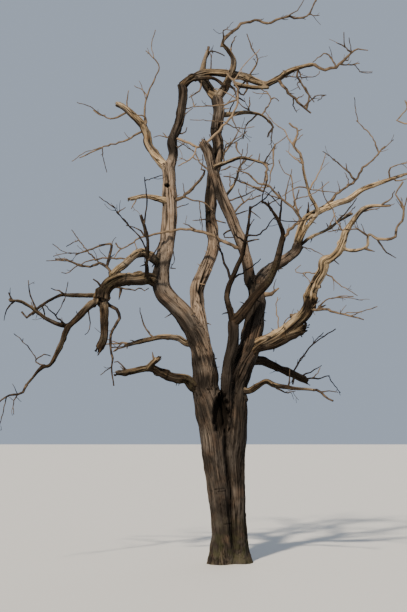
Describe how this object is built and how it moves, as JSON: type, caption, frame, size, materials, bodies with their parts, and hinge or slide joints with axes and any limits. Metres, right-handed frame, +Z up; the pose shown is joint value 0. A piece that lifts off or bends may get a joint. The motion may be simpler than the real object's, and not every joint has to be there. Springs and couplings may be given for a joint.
{
  "type": "dead tree",
  "caption": "Tall leafless dead tree with a fused two-stem trunk, crooked weathered boughs, broken stubs and open bare twigs.",
  "frame": {"origin": "centre of the flat cut under the trunk, at ground level", "axes": "+Z up along the trunk, +X to the right across the crown's broad side, which faces -Y"},
  "size_m": [6.3738, 3.9879, 8.6449],
  "materials": {
    "trunk_bark": "furrowed grey-brown dead wood",
    "bough_wood": "pale weathered barkless wood with dark cracks",
    "twigs": "dry weathered twigs"
  },
  "bodies": {
    "root": {"back_bough": "bough_wood", "back_twigs": "twigs", "broken_bough": "bough_wood", "broken_right_twigs": "twigs", "centre_stem": "bough_wood", "centre_upright": "bough_wood", "crown_twigs": "twigs", "drooping_bough": "bough_wood", "far_right_twigs": "twigs", "front_left_twigs": "twigs", "front_right_bough": "bough_wood", "front_right_twigs": "twigs", "front_stem": "trunk_bark", "hanging_right_twigs": "twigs", "hanging_stub": "bough_wood", "hooked_twigs": "twigs", "inner_left_twigs": "twigs", "inner_right_twigs": "twigs", "knotty_arm": "bough_wood", "knotty_stub": "bough_wood", "leaning_pale_twigs": "twigs", "left_arc_twigs": "twigs", "left_arm_twigs": "twigs", "left_bough": "bough_wood", "left_dangling_twigs": "twigs", "left_fork_twigs": "twigs", "left_high_bough": "bough_wood", "left_high_twigs": "twigs", "left_low_bough": "bough_wood", "left_reaching_twigs": "twigs", "left_riser_twigs": "twigs", "left_stem": "trunk_bark", "left_tip_twigs": "twigs", "left_upright": "bough_wood", "long_front_twigs": "twigs", "long_pale_twigs": "twigs", "lower_right_bough": "bough_wood", "lowest_right_twigs": "twigs", "middle_right_bough": "bough_wood", "pale_stub": "bough_wood", "rear_right_bough": "bough_wood", "rear_right_twigs": "twigs", "right_bough": "bough_wood", "right_drooping_twigs": "twigs", "right_end_twigs": "twigs", "right_fan_twigs": "twigs", "right_loop_twigs": "twigs", "right_low_twigs": "twigs", "right_reach": "bough_wood", "right_stem": "trunk_bark", "right_upright_twigs": "twigs", "top_arch": "bough_wood", "top_left_bough": "bough_wood", "top_right_bough": "bough_wood", "top_right_twigs": "twigs", "trunk": "trunk_bark", "upper_left_bough": "bough_wood", "upper_left_twigs": "twigs"}
  },
  "joints": []
}
